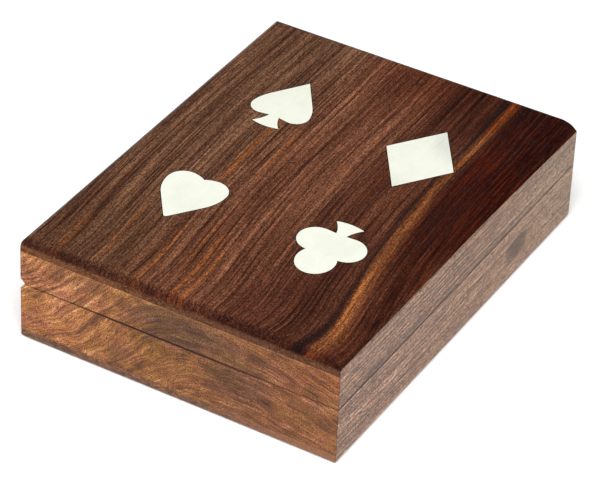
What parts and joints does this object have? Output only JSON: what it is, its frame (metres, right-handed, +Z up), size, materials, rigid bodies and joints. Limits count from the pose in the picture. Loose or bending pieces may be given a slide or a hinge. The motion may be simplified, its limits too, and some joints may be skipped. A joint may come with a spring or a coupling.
{
  "type": "playing card box",
  "caption": "Low wooden box for playing cards laid flat, with a hinged lid that carries flush metal suit shapes, a middle divider and felt on its floor.",
  "frame": {"origin": "middle of the underside, on the surface the box stands on", "axes": "+X along the box and the lid's grain, to the right as seen from the side that opens; +Y from the side that opens towards the hinges; +Z up"},
  "size_m": [0.152, 0.113, 0.038],
  "materials": {
    "dark_wood": "dark rosewood, oiled, fine straight grain along the box",
    "brown_wood": "lighter sides of the same wood, oiled",
    "inlay_metal": "pale metal, sanded flush with the wood",
    "hinge_brass": "plain brass",
    "felt": "thin felt"
  },
  "bodies": {
    "base": {"base_front_wall": "brown_wood", "base_back_wall": "brown_wood", "base_left_wall": "brown_wood", "base_right_wall": "brown_wood", "bottom_board": "brown_wood", "divider": "brown_wood", "left_felt_pad": "felt", "right_felt_pad": "felt", "left_hinge_base_leaf": "hinge_brass", "left_hinge_pin": "hinge_brass", "left_hinge_base_screw_1": "hinge_brass", "left_hinge_base_screw_2": "hinge_brass", "right_hinge_base_leaf": "hinge_brass", "right_hinge_pin": "hinge_brass", "right_hinge_base_screw_1": "hinge_brass", "right_hinge_base_screw_2": "hinge_brass"},
    "lid": {"lid_front_wall": "brown_wood", "lid_back_wall": "brown_wood", "lid_left_wall": "brown_wood", "lid_right_wall": "brown_wood", "top_board": "dark_wood", "spade_inlay": "inlay_metal", "heart_inlay": "inlay_metal", "club_inlay": "inlay_metal", "diamond_inlay": "inlay_metal", "left_hinge_lid_leaf": "hinge_brass", "left_hinge_lid_screw_1": "hinge_brass", "left_hinge_lid_screw_2": "hinge_brass", "right_hinge_lid_leaf": "hinge_brass", "right_hinge_lid_screw_1": "hinge_brass", "right_hinge_lid_screw_2": "hinge_brass"}
  },
  "joints": [
    {"name": "lid_hinge", "type": "hinge", "parent": "base", "child": "lid", "pos_m": [0, 0.0552, 0.021], "axis": [-1, 0, 0], "range_deg": [0, 105]}
  ]
}
